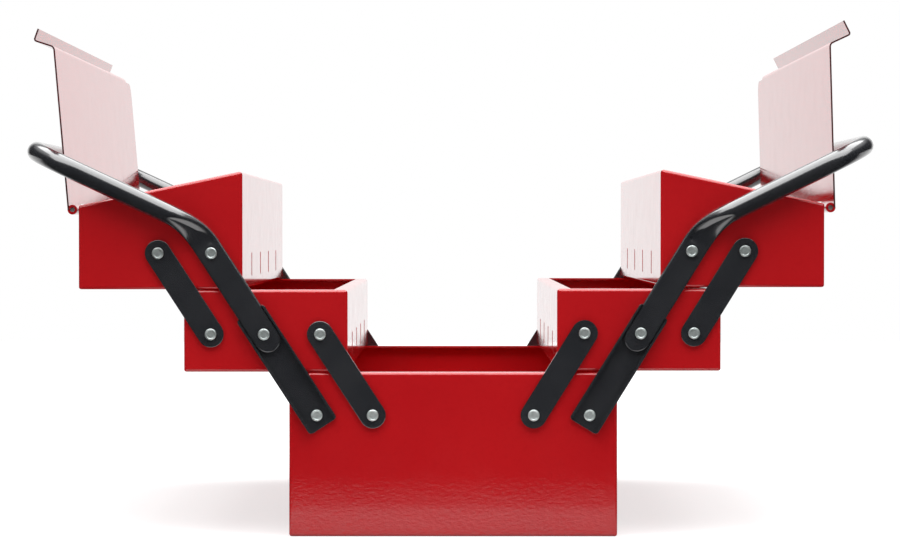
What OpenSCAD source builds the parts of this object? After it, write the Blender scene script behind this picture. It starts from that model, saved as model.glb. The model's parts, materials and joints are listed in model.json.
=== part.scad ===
// Cantilever tool box of folded steel sheet, drawn fully open.
// Two pairs of trays ride on rivetted arms and swing out to both sides of a bottom tray,
// and the long arms run on into two U-shaped tube handles.
// Millimetres. X runs across the box, Y along it and Z up. The origin is the centre of
// the bottom tray's underside. Every piece of the left side is drawn at negative X, and
// the right side is its mirror image, apart from the lids' angles and lips. It stands
// a little less open.

/* [Trays] */
// Length of every tray
tray_l = 430; // [360:5:500]
// Width of the bottom tray
bottom_w = 200; // [190:1:230]
// Height of the bottom tray
bottom_h = 100; // [80:1:130]
// Height of the middle trays
middle_h = 50; // [44:1:60]
// Height of the top trays at their hinge side
top_low_h = 51; // [44:1:60]
// Height of the top trays at their inner side
top_high_h = 72; // [66:0.5:78]
// Thickness of the tray sheet
sheet_t = 1; // [0.8:0.1:1.4]
// Width of the rim that is folded in along the top of each wall
rim_w = 8.5; // [6:0.5:12]
// Outer radius of the rim's fold
rim_r = 2; // [1.5:0.1:2.5]
// Outer radius of a tray's other edges
edge_r = 1.8; // [1.5:0.1:2.5]
// Gap between stacked trays
stack_gap = 0.3; // [0.2:0.1:0.6]
// Gap between the left and right trays when closed
centre_gap = 0.6; // [0.4:0.1:2]

/* [Dividers] */
// Number of dividers in each middle and top tray
divider_n = 4; // [1:1:6]
// Thickness of a divider
divider_t = 0.8; // [0.6:0.1:1.2]
// Height of the middle trays' dividers
middle_divider_h = 36; // [30:1:38]
// Height of the top trays' dividers
top_divider_h = 38; // [30:1:38]
// Height of the slits in the tray walls, and of the tabs in them
slit_h = 15; // [8:1:18]
// Height of the slits above the tray's underside
slit_z = 7; // [5:0.5:10]
// Clearance round a divider
divider_gap = 0.3; // [0.2:0.05:0.5]

/* [Linkage] */
// Distance of the main arm's pivot from the bottom tray's side
arm_inset = 17; // [15:0.5:20]
// Depth of the main arm's pivot below the bottom tray's rim
arm_drop = 26; // [22:0.5:30]
// Height of the middle tray's pivots above its underside
middle_pivot_h = 23; // [20:0.5:26]
// Distance of the closed handles' top pivots from the centre line
top_pivot_in = 19; // [17:0.5:24]
// Distance from the main arm to the lower link, towards the centre
lower_link_gap = 34; // [32:0.5:38]
// Distance from the main arm to the upper link, away from the centre
upper_link_gap = 32.5; // [32:0.5:38]
// Width of the lower and upper links
link_w = 16; // [12:0.5:18]
// Thickness of the lower and upper links
link_t = 2; // [1.5:0.1:2.5]
// Gap between a tray's end and what swings on it
link_gap = 0.3; // [0.2:0.05:0.5]
// Angle by which the right side stands short of fully open
right_lag = 1.2; // [0:0.1:3]

/* [Channel arms] */
// Width of the U-shaped channel arm
channel_w = 19.6; // [18:0.2:22]
// Depth of the channel arm
channel_d = 5; // [4:0.1:6]
// Thickness of the channel's web
web_t = 1.5; // [1:0.1:2]
// Thickness of the channel's two flanges
channel_flange_t = 1.3; // [1:0.1:1.6]
// Length of the channel beyond its lower pivot
channel_foot = 8; // [7:0.5:11]
// Length of the channel beyond its upper pivot
channel_head = 16; // [14:0.5:20]
// Corner radius of the channel's ends
channel_r = 2.5; // [1:0.5:4]

/* [Handles] */
// Diameter of the handle tube
tube_d = 12; // [10:0.5:14]
// Width of the tube's flattened ends
flat_w = 16.4; // [15:0.1:16.6]
// Thickness of the tube's flattened ends
flat_t = 2.6; // [2.2:0.1:3.2]
// Length of the flattened end beyond the middle pivot
flat_tail = 11.7; // [10:0.1:13]
// Length of the flattened end beyond the top pivot, up to the elbow
flat_lead = 4.4; // [4:0.1:6]
// Length from the elbow to the grip's axis
handle_reach = 92; // [80:1:110]
// Lean of the closed handle towards the centre, from the elbow to the grip
handle_lean = 0.9; // [0:0.1:1.5]
// Radius of the bends at the grip's ends
grip_r = 30; // [20:1:31]
// Gap between the two grips when closed
grip_gap = 0.6; // [0.4:0.1:2]
// Depth of the hollow where the tube runs out into its flat
dish_d = 2; // [0:0.1:3]

/* [Rivets] */
// Diameter of the rivet shanks
rivet_d = 5; // [4:0.1:5.5]
// Diameter of the rivet heads
rivet_head_d = 7.1; // [6.5:0.1:9]
// Height of the outer rivet heads
rivet_head_h = 1.5; // [1.2:0.1:2]
// Height of the inner rivet heads
rivet_back_h = 1.2; // [1:0.1:2]
// Diameter of the hollow in a rivet head
rivet_cup_d = 3.8; // [3:0.1:4.2]
// Depth of the hollow in a rivet head
rivet_cup_h = 1; // [0.5:0.1:1.2]
// Radial clearance of a rivet in an arm or link
rivet_fit = 0.05; // [0.02:0.01:0.1]
// Gap between a rivet head and the part that turns under it
head_gap = 0.2; // [0.1:0.05:0.3]
// Diameter of the spacers under the handles' top pivots
spacer_d = 10; // [8:0.5:14]

/* [Lids] */
// Thickness of the lid sheet
lid_t = 1; // [0.8:0.1:1.2]
// Length by which a lid is shorter than its tray, at each end
lid_end_gap = 2.5; // [1.5:0.5:5]
// Distance of a closed lid's fold from the centre line, along the slope
lid_stop = 6.6; // [5:0.1:7]
// Angle of the fold from the lid panel to its flange
flange_a = 67; // [60:1:75]
// Angle of the fold from the flange to the lip
lip_a = 92; // [85:1:95]
// Height of the left lid's flange
left_flange_h = 12.8; // [11:0.1:13.5]
// Height of the right lid's flange
right_flange_h = 13.8; // [13:0.1:15]
// Length of the left lid's lip
left_lip_l = 8; // [5:0.1:8.5]
// Length of the right lid's lip
right_lip_l = 9.8; // [6:0.1:10]
// Inner radius of the fold at the flange's foot
flange_fold_r = 2.5; // [1:0.1:3]
// Inner radius of the fold at the lip
lip_fold_r = 0.8; // [0.5:0.1:1.5]
// Length by which the flange stops short of the lid's rear end
flange_stop = 32; // [10:1:60]
// Corner radius of the lid panel's rear end
lid_corner_r = 10; // [5:1:12]
// Angle of the left lid above the horizontal
left_lid_a = 95; // [85:0.1:96]
// Angle of the right lid above the horizontal
right_lid_a = 88.3; // [85:0.1:96]
// Gap between a closed lid and its tray's rim
lid_gap = 0.3; // [0.2:0.1:0.6]

/* [Hinges] */
// Number of knuckles along a hinge
knuckle_n = 7; // [3:2:11]
// Outer diameter of the knuckles
knuckle_d = 6; // [5.4:0.1:6.6]
// Diameter of the hinge pin
pin_d = 3; // [2.5:0.1:3.2]
// Radial clearance of the hinge pin
pin_fit = 0.05; // [0.02:0.01:0.1]
// Gap between neighbouring knuckles
knuckle_gap = 0.5; // [0.3:0.1:1]
// Depth of the hinge pin's ends inside the end knuckles
pin_recess = 1; // [0.5:0.1:3]
// Gap between the lid's knuckles and the tray's wall
hinge_gap = 1; // [0.6:0.1:1.5]

/* [Hidden] */
$fn = 48;

red_paint = [0.68, 0.08, 0.09];
black_paint = [0.17, 0.18, 0.19];
bare_zinc = [0.72, 0.75, 0.75];
slack = 1; // how far a cutter runs past the face that it cuts
seam = 0.3; // how far pieces of one bent strip or tube run into each other

// trays: the side trays' width, and each tray's left side and underside
arm_run = (bottom_w / 2 - arm_inset - top_pivot_in) / 2; // sideways, between two pivots
tray_w = bottom_w / 2 - centre_gap / 2;
middle_x = -bottom_w / 2 - 2 * arm_run;
top_x = middle_x - 2 * arm_run;
middle_z = bottom_h + stack_gap;
top_z = middle_z + middle_h + stack_gap;
top_slope = atan((top_high_h - top_low_h) / tray_w);
slit_w = divider_t + 2 * divider_gap;

// pivots as [x, z]: the main arm's three, then the lower and upper links'
arm_low = [-bottom_w / 2 + arm_inset, bottom_h - arm_drop];
arm_rise = middle_z + middle_pivot_h - arm_low[1];
arm_mid = arm_low + [-arm_run, arm_rise];
arm_top = arm_mid + [-arm_run, arm_rise];
lower_link = [arm_low + [lower_link_gap, 0], arm_mid + [lower_link_gap, 0]];
upper_link = [arm_mid - [upper_link_gap, 0], arm_top - [upper_link_gap, 0]];
arm_a = atan2(arm_rise, -arm_run);
arm_dir = [cos(arm_a), sin(arm_a)];
lag_dir = [cos(arm_a - right_lag), sin(arm_a - right_lag)];
lag_step = (lag_dir - arm_dir) * norm(arm_mid - arm_low); // from one pivot to the next
travel = 2 * (arm_a - 90);

// layers that lie on a tray's end, as distances out from its face
link_top = link_gap + link_t;
flat_back = link_gap + web_t;
flat_top = flat_back + flat_t;
tube_r = tube_d / 2;
tube_y = tray_l / 2 + flat_back + tube_r;

// handle: worked out closed, with the grip beside the centre line, and then swung open
closed_a = 180 - arm_a;
grip_x = -tube_r - grip_gap / 2;
elbow_turn = 90 - handle_lean - closed_a;
elbow_r = (grip_x + top_pivot_in - flat_lead * cos(closed_a)
    - handle_reach * sin(handle_lean)) / (cos(handle_lean) - sin(closed_a));
handle_a = arm_a + elbow_turn;
elbow_start = arm_top + flat_lead * arm_dir;
elbow_centre = elbow_start + elbow_r * [-sin(arm_a), cos(arm_a)];
elbow_end = elbow_centre + elbow_r * [sin(handle_a), -cos(handle_a)];

// hinge axis as [x, z], so that the closed lid lies lid_gap above the sloping rim
knuckle_r = knuckle_d / 2;
hinge_out = knuckle_r + hinge_gap;
panel_v = knuckle_r - lid_t - 0.1; // the lid panel's underside, above the hinge axis
hinge_drop = (panel_v - lid_gap + hinge_out * sin(top_slope)) / cos(top_slope);
hinge = [top_x - hinge_out, top_z + top_low_h - hinge_drop];
lid_l = tray_l - 2 * lid_end_gap;
lid_reach = (tray_w + hinge_out) / cos(top_slope) - lid_stop; // hinge axis to fold
knuckle_pitch = lid_l / knuckle_n;
lug_t = 1.2;
notch_u = knuckle_r + 1.2; // where the lid panel starts beside the tray's knuckles

// ---- outlines ----

// Inward normal of the edge from a to b, for points in anticlockwise order
function inward(a, b) = [a[1] - b[1], b[0] - a[0]] / norm(b - a);

// Corner i of an outline, moved in from both of its edges by the given distance
function inset_corner(points, i, distance) =
    let (
        n = len(points),
        before = inward(points[(i + n - 1) % n], points[i]),
        after = inward(points[i], points[(i + 1) % n])
    )
    points[i] + distance * (before + after) / (1 + before * after);

function inset(points, distance) =
    [for (i = [0 : len(points) - 1]) inset_corner(points, i, distance)];

// An outline whose corner i is rounded to radii[i]
module rounded(points, radii) {
    n = len(points);
    polygon([
        for (i = [0 : n - 1])
        let (
            centre = inset_corner(points, i, radii[i]),
            before = inward(points[(i + n - 1) % n], points[i]),
            after = inward(points[i], points[(i + 1) % n])
        )
        each radii[i] > 0
            ? [centre - radii[i] * before, centre - radii[i] * after]
            : [points[i]]
    ]);
    for (i = [0 : n - 1]) {
        if (radii[i] > 0) {
            translate(inset_corner(points, i, radii[i])) circle(r = radii[i]);
        }
    }
}

function box_points(x0, y0, x1, y1) = [[x0, y0], [x1, y0], [x1, y1], [x0, y1]];

// A flat bar between two points with fully rounded ends
module capsule(a, b, width) {
    for (p = [a, b]) {
        translate(p) circle(d = width);
    }
    translate(a) rotate(atan2(b[1] - a[1], b[0] - a[0])) translate([0, -width / 2])
        square([norm(b - a), width]);
}

// ---- placing ----

module right_side() {
    mirror([1, 0, 0]) children();
}

// A tray of the right side, moved by its number of pivot steps up from the bottom tray
module right_tray(steps) {
    right_side() translate(steps * [lag_step[0], 0, lag_step[1]]) children();
}

// An arm or link of the right side, which turns about a pivot on the tray that is the
// given number of steps up
module right_arm(pivot, steps) {
    right_tray(steps) translate([pivot[0], 0, pivot[1]]) rotate([0, right_lag, 0])
        translate([-pivot[0], 0, -pivot[1]]) children();
}

module rear_end() {
    mirror([0, 1, 0]) children();
}

module both_ends() {
    children();
    rear_end() children();
}

// An [x, z] outline on the front end, from one distance out of the trays' end to another
module on_end(from, to) {
    translate([0, -tray_l / 2 - from, 0]) rotate([90, 0, 0]) linear_extrude(to - from)
        children();
}

// An [x, z] outline extruded along Y over the given length, centred
module along_y(length) {
    translate([0, length / 2, 0]) rotate([90, 0, 0]) linear_extrude(length) children();
}

// ---- trays ----

// The block that a tray's sheet is folded round, shrunk by the given distance.
// Its rim falls off to low_h at x = 0 and high_h at x = w.
module tray_block(w, low_h, high_h, shrink) {
    slope = atan((high_h - low_h) / w);
    fold = rim_r - shrink;
    edge = edge_r - shrink;
    side = inset([[0, 0], [w, 0], [w, high_h], [0, low_h]], shrink);
    half_l = tray_l / 2 - shrink;
    intersection() {
        along_y(tray_l) rounded(side, [edge, edge, fold, fold]);
        translate([0, 0, -slack]) linear_extrude(high_h + 2 * slack)
            rounded(box_points(shrink, -half_l, w - shrink, half_l), [for (i = [1 : 4]) edge]);
        // the ends' lower edges
        rotate([90, 0, 90]) linear_extrude(w)
            rounded(box_points(-half_l, shrink, half_l, 2 * high_h), [edge, edge, 0, 0]);
        // the ends' upper edges, along the sloping rim
        translate([0, 0, low_h]) rotate([0, -slope, 0]) translate([-w, 0, 0])
            rotate([90, 0, 90]) linear_extrude(3 * w)
            rounded(box_points(-half_l, -2 * high_h, half_l, -shrink), [0, 0, fold, fold]);
    }
}

// A tray with its walls, floor and folded rim, corner at x = 0 and underside at z = 0
module tray_shell(w, low_h, high_h) {
    difference() {
        tray_block(w, low_h, high_h, 0);
        tray_block(w, low_h, high_h, sheet_t);
        translate([rim_w, -tray_l / 2 + rim_w, low_h / 2])
            cube([w - 2 * rim_w, tray_l - 2 * rim_w, high_h]);
    }
}

// Y positions of the dividers, evenly spaced
divider_y = [for (i = [1 : divider_n]) -tray_l / 2 + i * tray_l / (divider_n + 1)];

// The slits that the dividers' tabs sit in, through both long walls
module slits() {
    for (y = divider_y) {
        translate([-slack, y - slit_w / 2, slit_z])
            cube([tray_w + 2 * slack, slit_w, slit_h]);
    }
}

// Dividers with a tab at each end, standing in the slits of a tray at x = 0
module dividers(h) {
    side_gap = sheet_t + divider_gap;
    body = box_points(side_gap, side_gap, tray_w - side_gap, sheet_t + h);
    tab = box_points(0, slit_z + divider_gap, tray_w, slit_z + slit_h - divider_gap);
    for (y = divider_y) {
        translate([0, y, 0]) along_y(divider_t) {
            rounded(body, [edge_r, edge_r, 4, 4]);
            polygon(tab);
        }
    }
}

// Holes for rivets through the front end's wall
module rivet_holes(pivots) {
    on_end(-2 * sheet_t - rim_w, slack) {
        for (p = pivots) {
            translate(p) circle(d = rivet_d + 2 * rivet_fit);
        }
    }
}

module bottom_tray() {
    color(red_paint) difference() {
        translate([-bottom_w / 2, 0, 0]) tray_shell(bottom_w, bottom_h, bottom_h);
        both_ends() {
            rivet_holes([arm_low, lower_link[0]]);
            right_side() rivet_holes([arm_low, lower_link[0]]);
        }
    }
}

module middle_tray() {
    color(red_paint) difference() {
        translate([middle_x, 0, middle_z]) difference() {
            tray_shell(tray_w, middle_h, middle_h);
            slits();
        }
        both_ends() rivet_holes([arm_mid, lower_link[1], upper_link[0]]);
    }
}

module top_tray() {
    color(red_paint) {
        difference() {
            translate([top_x, 0, top_z]) difference() {
                tray_shell(tray_w, top_low_h, top_high_h);
                slits();
            }
            both_ends() rivet_holes([arm_top, upper_link[1]]);
        }
        tray_knuckles();
    }
}

module middle_dividers() {
    color(red_paint) translate([middle_x, 0, middle_z]) dividers(middle_divider_h);
}

module top_dividers() {
    color(red_paint) translate([top_x, 0, top_z]) dividers(top_divider_h);
}

// ---- rivets ----

// A rivet on the front end at pivot p, its outer head that far out from the tray
module rivet(p, head_from) {
    back = -sheet_t - rivet_back_h;
    head_top = head_from + rivet_head_h;
    round_r = 0.45 * rivet_head_h;
    translate([p[0], -tray_l / 2, p[1]]) rotate([90, 0, 0]) rotate_extrude() difference() {
        union() {
            translate([0, back]) square([rivet_head_d / 2, rivet_back_h]);
            translate([0, back]) square([rivet_d / 2, head_top - rivet_cup_h - back]);
            rounded(box_points(0, head_from, rivet_head_d / 2, head_top), [0, 0, round_r, 0]);
        }
        translate([0, head_top - rivet_cup_h]) square([rivet_cup_d / 2, rivet_cup_h + slack]);
    }
}

module bottom_rivets() {
    color(bare_zinc) both_ends() {
        rivet(arm_low, flat_back + head_gap);
        rivet(lower_link[0], link_top + head_gap);
        right_side() rivet(arm_low, flat_back + head_gap);
        right_side() rivet(lower_link[0], link_top + head_gap);
    }
}

module middle_rivets() {
    color(bare_zinc) both_ends() {
        rivet(arm_mid, flat_top + head_gap);
        rivet(lower_link[1], link_top + head_gap);
        rivet(upper_link[0], link_top + head_gap);
    }
}

module top_rivets() {
    color(bare_zinc) both_ends() {
        rivet(arm_top, flat_top + head_gap);
        rivet(upper_link[1], link_top + head_gap);
    }
}

// Washers that fill the channel's thickness behind the handle at its top pivot
module spacers() {
    color(bare_zinc) both_ends() on_end(0, flat_back - link_gap) translate(arm_top)
        difference() {
            circle(d = spacer_d);
            circle(d = rivet_d + 2 * rivet_fit);
        }
}

// ---- arms and links ----

module pivot_bores(pivots, from, to) {
    on_end(from, to) {
        for (p = pivots) {
            translate(p) circle(d = rivet_d + 2 * rivet_fit);
        }
    }
}

module link(pivots) {
    color(black_paint) difference() {
        on_end(link_gap, link_top) capsule(pivots[0], pivots[1], link_w);
        pivot_bores(pivots, 0, link_top + slack);
    }
}

// The lower part of the main arm, open outwards, which the handle's flat end lies in
module channel_arm() {
    length = channel_foot + norm(arm_mid - arm_low) + channel_head;
    half_w = channel_w / 2;
    trough_w = channel_w - 2 * channel_flange_t;
    color(black_paint) difference() {
        on_end(link_gap, link_gap + channel_d) translate(arm_low) rotate(arm_a)
            translate([-channel_foot, 0])
            rounded(box_points(0, -half_w, length, half_w), [for (i = [1 : 4]) channel_r]);
        on_end(flat_back, link_gap + channel_d + slack) translate(arm_low) rotate(arm_a)
            translate([-channel_foot - slack, -trough_w / 2])
            square([length + 2 * slack, trough_w]);
        pivot_bores([arm_low, arm_mid], 0, flat_back + slack);
    }
}

// ---- handles ----

ring_n = 32; // points round a section of the flattened elbow
elbow_n = 12; // steps along it
step_in = 0.05; // how far the elbow's ends lie inside the flat and the round tube

function blend(a, b, t) = a + (b - a) * t;

// Section t of the elbow, from the flat at 0 to the round tube at 1, as [across, out]
function elbow_section(t) =
    let (
        eased = t * t * (3 - 2 * t),
        half_w = blend(flat_w / 2, tube_r, eased) - step_in,
        half_t = blend(flat_t / 2, tube_r, eased) - step_in,
        straight = half_w - half_t,
        dish = dish_d * sin(180 * t)
    )
    [
        for (i = [0 : ring_n - 1])
        let (
            a = (i + 0.5) * 360 / ring_n,
            across = straight * sign(cos(a)) + half_t * cos(a),
            hollow = sin(a) > 0 ? dish * pow(cos(90 * across / half_w), 2) : 0
        )
        [across, flat_back + step_in + half_t * (1 + sin(a)) - hollow]
    ];

// The tube's elbow on the front end, where it is pressed flat. Its end sections lie inside
// the flat and the round tube, and a fan of triangles closes each.
module flattened_elbow() {
    turn_in = seam / elbow_r * 180 / PI;
    sections = [
        for (step = [0 : elbow_n])
        let (a = arm_a - 90 + blend(-turn_in, elbow_turn + turn_in, step / elbow_n))
        [
            for (q = elbow_section(step / elbow_n))
            [(elbow_r + q[0]) * cos(a), -q[1], (elbow_r + q[0]) * sin(a)]
        ]
    ];
    rings = [for (section = sections) each section];
    ends = [for (step = [0, elbow_n])
        let (first = sections[step][0], half = sections[step][ring_n / 2])
        (first + half) / 2
    ];
    last = elbow_n * ring_n;
    start_end = len(rings);
    translate([elbow_centre[0], -tray_l / 2, elbow_centre[1]])
        polyhedron(concat(rings, ends), concat(
            [for (i = [0 : ring_n - 1]) [(i + 1) % ring_n, i, start_end]],
            [
                for (step = [0 : elbow_n - 1], i = [0 : ring_n - 1], half = [0, 1])
                let (
                    a = step * ring_n,
                    b = a + ring_n,
                    j = (i + 1) % ring_n
                )
                half == 0 ? [a + i, a + j, b + i] : [a + j, b + j, b + i]
            ],
            [for (i = [0 : ring_n - 1]) [last + i, last + (i + 1) % ring_n, start_end + 1]]
        ));
}

// The bent tube from the elbow to the grip's middle
module round_tube() {
    straight_l = handle_reach - grip_r;
    translate([elbow_end[0], -tube_y, elbow_end[1]]) rotate([0, -handle_a, 0]) {
        rotate([0, 90, 0]) cylinder(r = tube_r, h = straight_l);
        translate([straight_l, grip_r, 0]) rotate(-90) rotate_extrude(angle = 90)
            translate([grip_r, 0]) circle(r = tube_r);
        translate([handle_reach, grip_r, 0]) rotate([-90, 0, 0])
            cylinder(r = tube_r, h = tube_y - grip_r);
    }
}

module handle_half() {
    tail = arm_mid - (flat_tail - flat_w / 2) * arm_dir;
    difference() {
        on_end(flat_back, flat_top) {
            translate(tail) circle(d = flat_w);
            translate(tail) rotate(arm_a) translate([0, -flat_w / 2])
                square([norm(elbow_start - tail), flat_w]);
        }
        pivot_bores([arm_mid, arm_top], 0, flat_top + slack);
    }
    flattened_elbow();
    round_tube();
}

module handle() {
    color(black_paint) both_ends() handle_half();
}

// ---- hinges and lids ----

// The hinge's knuckles number first, first + 2 and so on, each with the child outline
// [x, z] about the hinge axis beside its ring
module knuckles(first) {
    for (i = [first : 2 : knuckle_n - 1]) {
        translate([hinge[0], -lid_l / 2 + (i + 0.5) * knuckle_pitch, hinge[1]])
            along_y(knuckle_pitch - knuckle_gap)
            difference() {
                union() {
                    circle(d = knuckle_d);
                    children();
                }
                circle(d = pin_d + 2 * pin_fit);
            }
    }
}

// The tray's knuckles, each on a lug that runs out from the tray's wall
module tray_knuckles() {
    knuckles(1) translate([0, lug_t / 2 - knuckle_r]) square([hinge_out + sheet_t / 2, lug_t]);
}

module hinge_pin() {
    pin_l = lid_l - knuckle_gap - 2 * pin_recess;
    color(bare_zinc) translate([hinge[0], pin_l / 2, hinge[1]]) rotate([90, 0, 0])
        cylinder(d = pin_d, h = pin_l);
}

// A ring sector about the origin, between two angles
module sector(inner_r, outer_r, from, to) {
    far = 3 * outer_r;
    intersection() {
        difference() {
            circle(r = outer_r);
            circle(r = inner_r);
        }
        polygon([
            [0, 0],
            for (a = [from, blend(from, to, 1 / 3), blend(from, to, 2 / 3), to])
            far * [cos(a), sin(a)]
        ]);
    }
}

// A fold of the lid's sheet, anticlockwise from the origin, with the children at its end.
// At each seam its outer half runs on into the flat, and the flat's inner half into it.
module fold(r, angle) {
    outer_r = r + lid_t;
    seam_a = asin(seam / outer_r);
    translate([0, outer_r]) rotate(-90) {
        sector(r, outer_r, 0, angle);
        sector(r + lid_t / 2, outer_r, -seam_a, angle + seam_a);
    }
    translate([-seam, lid_t / 2]) square([2 * seam, lid_t / 2]);
    translate([0, outer_r]) rotate(angle) translate([0, -outer_r]) {
        translate([-seam, lid_t / 2]) square([2 * seam, lid_t / 2]);
        children();
    }
}

// The lid's flange and lip as [u, v], from the fold at the panel's end
module folded_edge(flange_h, lip_l) {
    foot_tangent = flange_fold_r * tan(flange_a / 2);
    lip_tangent = (lip_fold_r + lid_t) * tan(lip_a / 2);
    flange_flat = flange_h - foot_tangent - lip_tangent;
    fold(flange_fold_r, flange_a) {
        square([flange_flat, lid_t]);
        translate([flange_flat, lid_t]) mirror([0, 1]) fold(lip_fold_r, lip_a)
            square([lip_l - lip_tangent, lid_t]);
    }
}

// A lid at the given angle: panel, flange and lip of one sheet, and its rolled knuckles.
// u runs along the panel from the hinge axis, and v out of its upper face.
module lid(angle, flange_h, lip_l) {
    fold_u = lid_reach - flange_fold_r * tan(flange_a / 2);
    flange_l = lid_l - flange_stop;
    notch_gap = knuckle_gap / 2 + 0.1;
    color(red_paint) {
        knuckles(0);
        translate([hinge[0], 0, hinge[1]]) rotate([0, -angle, 0]) {
            difference() {
                translate([0, 0, panel_v]) linear_extrude(lid_t)
                    rounded(box_points(0, -lid_l / 2, fold_u, lid_l / 2),
                        [0, 0, lid_corner_r, 0]);
                for (i = [1 : 2 : knuckle_n - 1]) {
                    translate([-slack, -lid_l / 2 + i * knuckle_pitch - notch_gap, 0])
                        cube([notch_u + slack, knuckle_pitch + 2 * notch_gap, knuckle_d]);
                }
                rotate([90, 0, 0]) cylinder(d = pin_d + 2 * pin_fit, h = 2 * lid_l,
                    center = true);
            }
            translate([fold_u, -flange_stop / 2, panel_v]) along_y(flange_l)
                folded_edge(flange_h, lip_l);
        }
    }
}

module left_middle_tray() middle_tray();
module left_middle_dividers() middle_dividers();
module left_middle_rivets() middle_rivets();
module left_top_tray() top_tray();
module left_top_dividers() top_dividers();
module left_top_rivets() top_rivets();
module left_spacers() spacers();
module left_hinge_pin() hinge_pin();
module left_lid() lid(left_lid_a, left_flange_h, left_lip_l);
module left_handle() handle();
module left_front_channel_arm() channel_arm();
module left_rear_channel_arm() rear_end() channel_arm();
module left_front_lower_link() link(lower_link);
module left_rear_lower_link() rear_end() link(lower_link);
module left_front_upper_link() link(upper_link);
module left_rear_upper_link() rear_end() link(upper_link);
module right_middle_tray() right_tray(1) middle_tray();
module right_middle_dividers() right_tray(1) middle_dividers();
module right_middle_rivets() right_tray(1) middle_rivets();
module right_top_tray() right_tray(2) top_tray();
module right_top_dividers() right_tray(2) top_dividers();
module right_top_rivets() right_tray(2) top_rivets();
module right_spacers() right_tray(2) spacers();
module right_hinge_pin() right_tray(2) hinge_pin();
module right_lid() right_tray(2) lid(right_lid_a, right_flange_h, right_lip_l);
module right_handle() right_arm(arm_low, 0) handle();
module right_front_channel_arm() right_arm(arm_low, 0) channel_arm();
module right_rear_channel_arm() right_arm(arm_low, 0) rear_end() channel_arm();
module right_front_lower_link() right_arm(lower_link[0], 0) link(lower_link);
module right_rear_lower_link() right_arm(lower_link[0], 0) rear_end() link(lower_link);
module right_front_upper_link() right_arm(upper_link[0], 1) link(upper_link);
module right_rear_upper_link() right_arm(upper_link[0], 1) rear_end() link(upper_link);

bottom_tray();
bottom_rivets();
left_middle_tray();
left_middle_dividers();
left_middle_rivets();
left_top_tray();
left_top_dividers();
left_top_rivets();
left_spacers();
left_hinge_pin();
left_lid();
left_handle();
left_front_channel_arm();
left_rear_channel_arm();
left_front_lower_link();
left_rear_lower_link();
left_front_upper_link();
left_rear_upper_link();
right_middle_tray();
right_middle_dividers();
right_middle_rivets();
right_top_tray();
right_top_dividers();
right_top_rivets();
right_spacers();
right_hinge_pin();
right_lid();
right_handle();
right_front_channel_arm();
right_rear_channel_arm();
right_front_lower_link();
right_rear_lower_link();
right_front_upper_link();
right_rear_upper_link();
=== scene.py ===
import json
import math
import random

import bmesh
import bpy
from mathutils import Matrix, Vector


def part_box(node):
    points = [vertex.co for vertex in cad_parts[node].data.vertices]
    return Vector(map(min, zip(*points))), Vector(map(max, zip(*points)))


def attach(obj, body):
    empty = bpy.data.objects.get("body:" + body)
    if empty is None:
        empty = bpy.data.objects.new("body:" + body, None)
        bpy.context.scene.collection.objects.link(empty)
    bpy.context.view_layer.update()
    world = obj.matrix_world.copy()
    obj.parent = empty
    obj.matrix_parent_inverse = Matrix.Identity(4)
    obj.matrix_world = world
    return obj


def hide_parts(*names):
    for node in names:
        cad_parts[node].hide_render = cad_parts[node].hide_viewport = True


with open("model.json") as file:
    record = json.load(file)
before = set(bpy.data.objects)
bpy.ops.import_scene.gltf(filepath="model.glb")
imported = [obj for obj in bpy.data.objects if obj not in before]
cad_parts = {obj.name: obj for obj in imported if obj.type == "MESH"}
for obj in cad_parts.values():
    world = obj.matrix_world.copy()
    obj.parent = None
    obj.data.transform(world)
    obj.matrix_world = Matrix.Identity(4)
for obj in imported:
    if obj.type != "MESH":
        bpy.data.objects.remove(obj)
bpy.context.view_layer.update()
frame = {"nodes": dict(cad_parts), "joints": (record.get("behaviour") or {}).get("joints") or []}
mm = 0.001
sheet = 1 * mm  # the steel of the trays and lids
samePlace = 1e-7  # metres, within which two points are one
sideSigns = {"left": 1, "right": -1}  # the left side is drawn, and the right one mirrored
joints = {joint["name"]: Vector(joint["pos_m"]) for joint in frame["joints"]}
upperLimits = {joint["name"]: math.radians(joint["range_deg"][1]) for joint in frame["joints"]}
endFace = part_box("bottom_tray")[1].y  # outer face of every tray's end
print("frame loaded:", len(frame["nodes"]), "nodes")


def addObject(name, data):
    made = bpy.data.objects.new(name, data)
    bpy.context.scene.collection.objects.link(made)
    return made


def addPiece(name, mesh, body, slotName, *nodes):
    piece = addObject(name, mesh)
    mesh.materials.clear()
    mesh.materials.append(finishes[slotName])
    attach(piece, body)
    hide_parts(*nodes)


def ringFaces(rings, around):
    # quads between closed rings of equally many points
    faces = []
    for row in range(rings - 1):
        for i in range(around):
            j = (i + 1) % around
            a, b = row * around, (row + 1) * around
            faces.append((a + i, a + j, b + j, b + i))
    return faces


def meshFrom(name, points, faces):
    mesh = bpy.data.meshes.new(name)
    mesh.from_pydata([tuple(p) for p in points], [], faces)
    work = bmesh.new()
    work.from_mesh(mesh)
    bmesh.ops.remove_doubles(work, verts=work.verts, dist=samePlace)
    bmesh.ops.recalc_face_normals(work, faces=work.faces)
    for face in work.faces:
        face.smooth = True
    work.to_mesh(mesh)
    work.free()
    return mesh


def softEdges(mesh, degrees):
    for polygon in mesh.polygons:
        polygon.use_smooth = True
    mesh.set_sharp_from_angle(angle=math.radians(degrees))


def arcPoints(centre, radius, start, end, steps):
    turns = [math.radians(start + (end - start) * i / steps) for i in range(steps + 1)]
    return [(centre[0] + radius * math.cos(a), centre[1] + radius * math.sin(a)) for a in turns]


def appliedMesh(maker, name):
    # the mesh with its modifiers done, in place of the object that had them
    view = bpy.context.evaluated_depsgraph_get()
    mesh = bpy.data.meshes.new_from_object(maker.evaluated_get(view))
    maker.modifiers.clear()
    bpy.data.objects.remove(maker)
    mesh.name = name
    return mesh


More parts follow.
